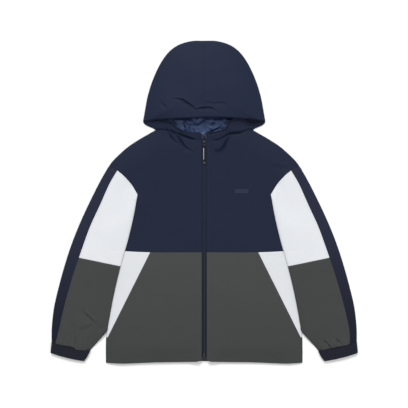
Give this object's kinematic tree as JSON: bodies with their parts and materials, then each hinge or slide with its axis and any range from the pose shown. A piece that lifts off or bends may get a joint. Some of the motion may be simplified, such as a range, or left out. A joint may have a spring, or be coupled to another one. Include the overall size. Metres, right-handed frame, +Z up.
{
  "type": "hooded windbreaker jacket",
  "caption": "Colour-blocked hooded windbreaker jacket with a full zip, laid flat on its back: thin cloth panels, open hem, cuffs and hood, and a swinging zip pull.",
  "frame": {"origin": "on the surface that the jacket lies on, under the middle of its outline", "axes": "+Y towards the hood, +Z up out of the fronts, +X towards the wearer's left sleeve"},
  "size_m": [0.9226, 0.9696, 0.0353],
  "materials": {
    "navy_cloth": "matte fine plain-weave nylon",
    "charcoal_cloth": "matte fine plain-weave nylon",
    "white_cloth": "matte fine plain-weave nylon",
    "lining_cloth": "crinkled taffeta with a soft sheen",
    "zip_tape": "woven tape and nylon coil",
    "gunmetal": "dark plated zinc",
    "silver": "satin silver"
  },
  "bodies": {
    "jacket": {"back_lower": "charcoal_cloth", "back_upper": "navy_cloth", "collar_left": "navy_cloth", "collar_right": "navy_cloth", "cuff_left": "navy_cloth", "cuff_right": "navy_cloth", "front_lower_left": "charcoal_cloth", "front_lower_right": "charcoal_cloth", "front_side_left": "white_cloth", "front_side_right": "white_cloth", "front_upper_left": "navy_cloth", "front_upper_right": "navy_cloth", "hood_left": "navy_cloth", "hood_lining": "lining_cloth", "hood_right": "navy_cloth", "hood_under_left": "navy_cloth", "hood_under_right": "navy_cloth", "sleeve_band_left": "charcoal_cloth", "sleeve_band_right": "charcoal_cloth", "sleeve_stripe_left": "navy_cloth", "sleeve_stripe_right": "navy_cloth", "sleeve_under_left": "navy_cloth", "sleeve_under_right": "navy_cloth", "sleeve_white_left": "white_cloth", "sleeve_white_right": "white_cloth", "zip_box": "gunmetal", "zip_chain": "zip_tape", "zip_slider": "gunmetal", "zip_tape_left": "zip_tape", "zip_tape_right": "zip_tape"},
    "zip_pull": {"zip_pull": "silver"}
  },
  "joints": [
    {"name": "zip_pull_swing", "type": "hinge", "parent": "jacket", "child": "zip_pull", "pos_m": [0, 0.17, 0.01395], "axis": [-1, 0, 0], "range_deg": [0, 150]}
  ]
}
